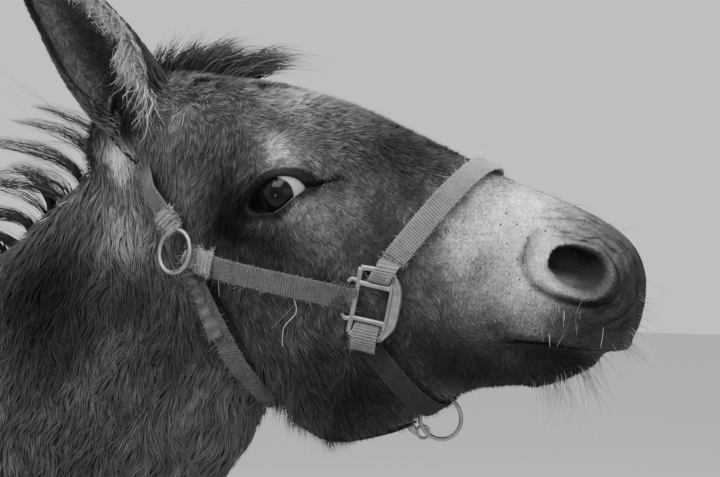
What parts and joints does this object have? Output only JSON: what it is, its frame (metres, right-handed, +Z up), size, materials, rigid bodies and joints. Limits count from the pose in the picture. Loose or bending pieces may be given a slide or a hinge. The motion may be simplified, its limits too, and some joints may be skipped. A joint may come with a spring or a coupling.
{
  "type": "donkey",
  "caption": "Small grey donkey standing square in a webbing head halter, head raised and one ear back, as a still life-size animal model.",
  "frame": {"origin": "on the floor under the middle of the animal's length, midway between its hooves", "axes": "+X towards the muzzle, +Y towards the donkey's left, +Z up; the body is even about the X-Z plane, apart from the ears"},
  "size_m": [1.7332, 0.3904, 1.4342],
  "materials": {
    "coat": "dense winter coat of grey-brown hair with pale tips, paler muzzle and eye rings",
    "long_hair": "coarse dark mane, forelock and tail hair",
    "eye": "wet, glossy dark eye",
    "hoof": "dull dark horn",
    "webbing": "faded ribbed webbing, fuzzy with wear",
    "metal": "dulled cast and drawn metal"
  },
  "bodies": {
    "root": {"head": "coat", "neck": "coat", "fore_leg_left": "coat", "fore_leg_right": "coat", "hind_leg_left": "coat", "hind_leg_right": "coat", "trunk": "coat", "ear_left": "coat", "eye_left": "eye", "fore_hoof_left": "hoof", "hind_hoof_left": "hoof", "ear_right": "coat", "eye_right": "eye", "fore_hoof_right": "hoof", "hind_hoof_right": "hoof", "mane": "long_hair", "forelock": "long_hair", "tail": "coat", "tail_tuft": "long_hair", "halter_crown": "webbing", "halter_noseband": "webbing", "halter_chin_strap": "webbing", "halter_throat_strap": "webbing", "halter_jaw_strap": "webbing", "halter_chin_ring": "metal", "halter_snap": "metal", "halter_cheek_strap_left": "webbing", "halter_cheek_ring_left": "metal", "halter_square_left": "metal", "halter_cheek_strap_right": "webbing", "halter_cheek_ring_right": "metal", "halter_square_right": "metal"}
  },
  "joints": []
}
